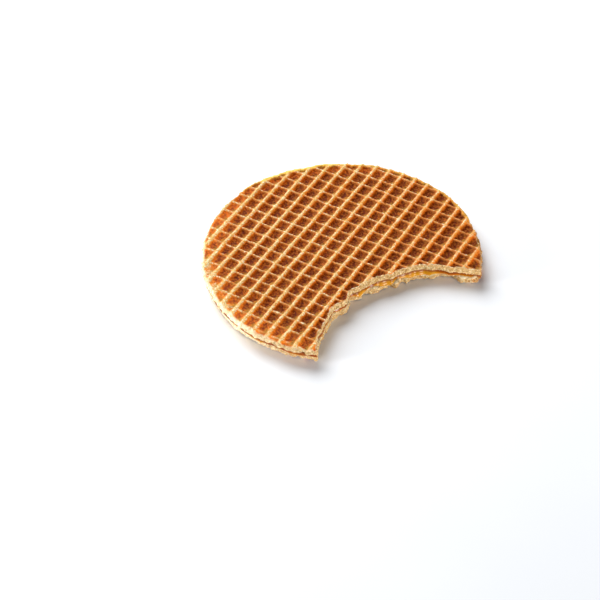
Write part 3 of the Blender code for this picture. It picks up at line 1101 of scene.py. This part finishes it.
def crust_colour(s, bake, middle, grit):
    """Baked crust: pale ridges, orange flanks and brown floors with dots, painted light and shade, and
    painted glints.
    """
    shade = s.math("MULTIPLY_ADD", s.noise(*BROAD_SHADE), 0.26, -0.13)
    shade = s.math("MULTIPLY_ADD", middle, 0.34, shade)
    shade = s.math("MULTIPLY_ADD", grit, -0.16, shade)
    shade = s.math("ADD", shade, -0.09)
    level = s.math("MULTIPLY_ADD", shade, s.span(bake, 0.0, 0.5, 0.62, 1.0), bake, clamp=True)
    crust = s.ramp(level, CRUST)
    # painted shadow in each pocket's dark wedge, and painted light on its high and lit parts
    painted_shadow = s.times(s.attribute("painted_shadow"), s.span(middle, 0.30, 0.65, 0.70, 1.0))
    crust = s.over(crust, s.attribute("high"), PAINTED_HIGH_LIGHT_LAYER)
    crust = s.over(crust, s.attribute("painted_light"), PAINTED_LIGHT_LAYER)
    crust = s.over(crust, painted_shadow, PAINTED_SHADOW_LAYER)
    # painted shade in the dents
    crust = s.over(crust, s.attribute("painted_pit_shade"), PAINTED_PIT_SHADE_LAYER)
    crust = s.over(crust, s.attribute("rib"), RIB_LAYER)
    on_floor = s.span(bake, 0.2, 0.7)
    crust = s.over(crust, s.times(s.math("SUBTRACT", 1.0, grit), on_floor), DOT_LAYER)
    # painted glints on the floors, then painted specks and flecks of highlight on the ridge tops
    crust = s.over(crust, s.times(s.math("POWER", grit, 3.0), on_floor), PAINTED_GLINT_LAYER)
    crust = s.over(crust, s.times(s.math("POWER", grit, 2.0), s.span(bake, 0.34, 0.04)), PAINTED_SPECK_LAYER)
    painted_flecks = s.span(s.noise(*FLECKS), 0.56, 0.66)
    return s.over(crust, s.times(painted_flecks, s.span(bake, 0.42, 0.12)), PAINTED_FLECK_LAYER)


def crumb_colour(s, grain):
    """The tan crumb of the torn and cut faces, with pale, brown and toasted patches."""
    patches = s.noise(*CRUMB_PATCHES)
    crumb = s.over(s.ramp(grain, CRUMB), s.span(s.noise(*TOASTED_PATCHES), 0.48, 0.72), TOASTED_LAYER)
    crumb = s.over(crumb, s.span(patches, 0.54, 0.64), PALE_PATCH_LAYER)
    crumb = s.over(crumb, s.span(patches, 0.46, 0.36), BROWN_PATCH_LAYER)
    return s.over(crumb, s.attribute("toast"), TOAST_LAYER)


def waffle_material():
    """Baked waffle: crust on the patterned face, and crumb where it is cut or torn."""
    s = Shader("baked_waffle")
    torn = s.attribute("torn")
    middle = s.noise(*MIDDLE_SHADE)
    grit = s.span(s.noise(*GRIT), 0.38, 0.62)
    grain = s.noise(*CRUMB_GRAIN)
    colour = s.mix(torn, crust_colour(s, s.attribute("bake"), middle, grit), crumb_colour(s, grain))
    # pale cream on the edges and the lip, partly painted light at the near left and along the bite's top
    # edge
    colour = s.mix(s.attribute("pale"), colour, s.ramp(grain, CREAM))
    colour = s.over(colour, s.attribute("gold"), GOLD_LAYER)

    rough = s.math("MULTIPLY_ADD", grit, 0.20, 0.48)
    rough = s.math("MULTIPLY_ADD", torn, 0.22, rough)
    normal = s.bump(s.noise(*SKIN), 0.05, 0.55)
    normal = s.bump(grit, 0.12, 0.50, normal)
    s.surface.inputs["Subsurface Radius"].default_value = (1.0, 0.40, 0.12)
    flat = {"Subsurface_Weight": 0.10, "Subsurface_Scale": 0.0008, "Specular_IOR_Level": 0.05}
    return s.finish(colour, rough, normal, **flat)


def caramel_material():
    """Amber caramel: glossy, a little translucent, darker where thin as painted shade in the slits,
    painted shade under the upper wafer.
    """
    s = Shader("amber_caramel")
    streak = s.noise(*SYRUP_STREAKS)
    # thin caramel is darker: painted shade in the narrow gap between the wafers
    thick = s.span(s.attribute("thick"), 0.45, 0.90)
    level = s.math("MULTIPLY_ADD", streak, 0.20, s.times(s.noise(*SYRUP_CLOUDS), 0.25))
    level = s.math("MULTIPLY_ADD", thick, 0.50, level, clamp=True)
    # painted shade on the caramel's upper part, under the upper wafer
    colour = s.over(s.ramp(level, CARAMEL), s.attribute("upper"), PAINTED_OVERHANG_SHADE_LAYER)
    rough = s.span(streak, 0.3, 0.7, 0.20, 0.34)
    normal = s.bump(s.noise(*SYRUP_WAVES), 0.08, 0.30)
    s.surface.inputs["Subsurface Radius"].default_value = (1.0, 0.5, 0.1)
    flat = {"Subsurface_Weight": 0.20, "Subsurface_Scale": 0.0012, "Specular_IOR_Level": 0.22}
    return s.finish(colour, rough, normal, Coat_Weight=0.12, Coat_Roughness=0.20, **flat)


def crumb_material():
    """Loose crumb: tan with pale and toasted grains."""
    s = Shader("crumb")
    colour = s.ramp(s.noise(*LOOSE_SHADE), LOOSE_CRUMB)
    normal = s.bump(s.noise(*LOOSE_GRAIN), 0.04, 0.5)
    rough = s.span(s.noise(*LOOSE_DULLNESS), 0.3, 0.7, 0.65, 0.85)
    return s.finish(colour, rough, normal, Specular_IOR_Level=0.2)


def floor_material():
    """A plain white floor."""
    s = Shader("white_floor")
    return s.finish(s.ramp(s.noise(*FLOOR_SHADE), FLOOR), 0.9, Specular_IOR_Level=0.1)


# ---- the object ----------------------------------------------------------------------------------

gap_share, gap_middle = caramel_gap()
upper_rise = FULL_GAP * (1.0 - gap_middle - 0.5 * gap_share)
lower_rise = FULL_GAP * (gap_middle - 0.5 * gap_share)
upper_sides = ((), (0.0, 0.0), 0.0, 0.0)
lower_sides = (LOWER_TEARS, LOWER_SHIFT, LOWER_LIP, LOWER_CORNER_INSET)

upper_layer = (UPPER_TOP, UPPER_PLAIN, upper_rise, upper_sides)
lower_layer = (LOWER_BASE, LOWER_PLAIN, lower_rise, lower_sides)

upper, upper_rows = wafer("upper_waffle", UPPER_SEED, UPPER_PHASE, *upper_layer)
lower, lower_rows = wafer("lower_waffle", LOWER_SEED, LOWER_PHASE, *lower_layer)
syrup = caramel(gap_share, gap_middle)
bits = crumbs((upper_rows, lower_rows), CRUMB_SEED, CRUMBS_ON_BITE, CRUMBS_ON_RIM)

waffle = waffle_material()
upper.data.materials.append(waffle)
lower.data.materials.append(waffle)
syrup.data.materials.append(caramel_material())
bits.data.materials.append(crumb_material())

for piece, node in ((upper, "wafer_upper"), (lower, "wafer_lower"), (syrup, "syrup")):
    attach(piece, "root")
    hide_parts(node)
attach(bits, "root")

# ---- the studio ----------------------------------------------------------------------------------

# Lights as (name, direction and height in degrees, distance and size in metres, power)
LIGHTS = (
    ("key", 120.0, 42.0, 0.60, 0.54, 6.6),
    ("left", 197.0, 9.0, 0.40, 0.12, 1.5),
    ("front", -50.0, 6.0, 0.60, 0.12, 3.2),
)
WORLD_COLOUR = (0.90, 0.95, 1.0, 1.0)
WORLD_STRENGTH = 0.085
FLOOR_HALF = 3.0
FLOOR_CLEAR = 0.00005
CAMERA_SENSOR = 36.0
CAMERA_LENS = 103.4
CAMERA_DOWN = 43.4
CAMERA_ROLL = -0.61
CAMERA_X = -0.01200
CAMERA_Y = -0.36620
CAMERA_ABOVE_TOP = 0.32770


def add_floor():
    """A wide plane that the lower wafer's ridges rest on."""
    half = FLOOR_HALF
    mesh = bpy.data.meshes.new("floor")
    corners = [(-half, -half, 0.0), (half, -half, 0.0), (half, half, 0.0), (-half, half, 0.0)]
    mesh.from_pydata(corners, [], [(0, 1, 2, 3)])
    floor = bpy.data.objects.new("floor", mesh)
    floor.location.z = cad_box[0].z - FLOOR_CLEAR
    floor.data.materials.append(floor_material())
    bpy.context.scene.collection.objects.link(floor)


def add_area_light(name, azimuth, elevation, distance, size, power):
    """A square soft light aimed at the biscuit's middle, placed by direction in degrees and distance."""
    turn = math.radians(azimuth)
    rise = math.radians(elevation)
    out = math.cos(rise)
    place = distance * Vector((out * math.cos(turn), out * math.sin(turn), math.sin(rise)))
    data = bpy.data.lights.new(name, "AREA")
    data.size = size
    data.energy = power
    light = bpy.data.objects.new(name, data)
    light.location = place
    light.rotation_mode = "QUATERNION"
    light.rotation_quaternion = (-place).to_track_quat("-Z", "Y")
    bpy.context.scene.collection.objects.link(light)


def add_world():
    """Even white light from all round."""
    world = bpy.data.worlds.new("studio")
    world.use_nodes = True
    background = world.node_tree.nodes["Background"]
    background.inputs["Color"].default_value = WORLD_COLOUR
    background.inputs["Strength"].default_value = WORLD_STRENGTH
    bpy.context.scene.world = world


def add_camera():
    """A long lens that looks down at the biscuit from the near side."""
    data = bpy.data.cameras.new("camera")
    data.sensor_width = CAMERA_SENSOR
    data.lens = CAMERA_LENS
    data.clip_start = 0.01
    camera = bpy.data.objects.new("camera", data)
    tilt = Matrix.Rotation(math.radians(90.0 - CAMERA_DOWN), 4, "X")
    roll = Matrix.Rotation(math.radians(CAMERA_ROLL), 4, "Z")
    place = Matrix.Translation((CAMERA_X, CAMERA_Y, cad_box[1].z + CAMERA_ABOVE_TOP))
    camera.matrix_world = place @ tilt @ roll
    bpy.context.scene.collection.objects.link(camera)
    bpy.context.scene.camera = camera


add_floor()
add_world()
for light_values in LIGHTS:
    add_area_light(*light_values)
add_camera()
bpy.context.scene.view_settings.view_transform = "Standard"
